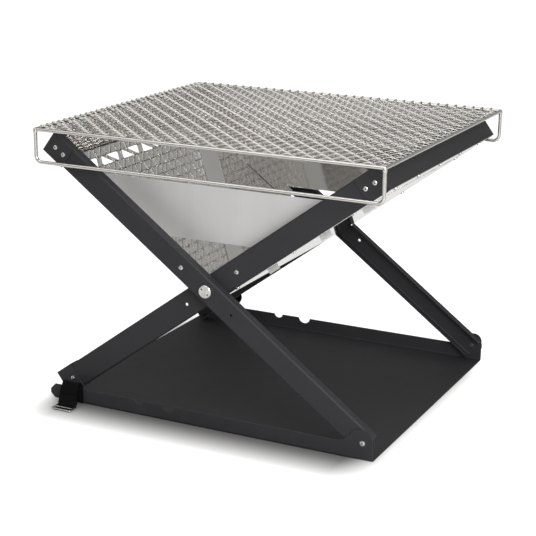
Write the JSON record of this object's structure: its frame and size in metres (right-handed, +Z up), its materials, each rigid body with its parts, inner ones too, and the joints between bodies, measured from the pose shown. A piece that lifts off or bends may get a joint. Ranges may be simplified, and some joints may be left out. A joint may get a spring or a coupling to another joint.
{
  "type": "folding fire pit",
  "caption": "Free-standing folding fire pit: a flat base tray carries crossed leg frames that hold a vented V-shaped sheet-metal fire trough, with a woven wire grill on top.",
  "frame": {"origin": "centre of the base tray's underside, on the ground", "axes": "+X along the tray towards its pivot ears, +Y to the rear, +Z up"},
  "size_m": [0.529, 0.5095, 0.4029],
  "materials": {
    "powder_black": "fine-textured matt black powder coat",
    "polished_sheet": "mirror-polished stainless sheet",
    "satin_sheet": "satin stainless sheet",
    "bright_wire": "bright drawn stainless wire",
    "nickel": "satin plated fasteners",
    "webbing": "woven black webbing"
  },
  "bodies": {
    "tray": {"base_tray": "powder_black", "tray_pivot_pins": "nickel", "strap_front": "webbing", "strap_buckle": "nickel", "strap_tail": "webbing", "strap_rivets": "nickel"},
    "outer_frame": {"outer_leg_front": "powder_black", "outer_leg_rear": "powder_black", "outer_top_rail": "powder_black", "outer_rail_rivets": "nickel", "outer_single_rivets": "nickel", "outer_panel": "polished_sheet", "outer_panel_rivets": "nickel", "cross_bolts": "nickel", "cross_nuts": "nickel", "cross_spacers": "nickel", "cross_sleeves": "nickel"},
    "inner_frame": {"inner_leg_front": "powder_black", "inner_leg_rear": "powder_black", "inner_top_rail": "powder_black", "inner_rail_rivets": "nickel", "inner_single_rivets": "nickel", "foot_caps": "powder_black", "foot_rivets": "nickel", "inner_panel": "polished_sheet", "inner_panel_rivets": "nickel"},
    "front_plate": {"end_plate_front": "satin_sheet"},
    "rear_plate": {"end_plate_rear": "satin_sheet"},
    "grill": {"grill_frame": "bright_wire", "grill_long_wires": "bright_wire", "grill_cross_wires": "bright_wire", "bail_front": "bright_wire", "bail_rear": "bright_wire"}
  },
  "joints": [
    {"name": "frame_fold", "type": "hinge", "parent": "tray", "child": "outer_frame", "pos_m": [0.24, 0, 0.02422], "axis": [0, -1, 0], "range_deg": [0, 36.5]},
    {"name": "scissor", "type": "hinge", "parent": "outer_frame", "child": "inner_frame", "pos_m": [0.00286, 0, 0.19969], "axis": [0, 1, 0], "range_deg": [0, 73]},
    {"name": "plate_front_fold", "type": "hinge", "parent": "inner_frame", "child": "front_plate", "pos_m": [0.01309, -0.181, 0.18587], "axis": [-0.8039, 0, -0.5948], "range_deg": [0, 88.8]},
    {"name": "plate_rear_fold", "type": "hinge", "parent": "outer_frame", "child": "rear_plate", "pos_m": [-0.00648, 0.181, 0.18707], "axis": [0.8039, 0, -0.5948], "range_deg": [0, 82.5]},
    {"name": "grill_lower", "type": "slide", "parent": "tray", "child": "grill", "axis": [0, 0, -1], "range_m": [0, 0.26119]}
  ],
  "couplings": [
    {"joint": "scissor", "follows": "frame_fold", "ratio": 2},
    {"joint": "plate_front_fold", "follows": "frame_fold", "ratio": 2.4329},
    {"joint": "plate_rear_fold", "follows": "frame_fold", "ratio": 2.2603},
    {"joint": "grill_lower", "follows": "frame_fold", "m_per_rad": 0.41}
  ]
}
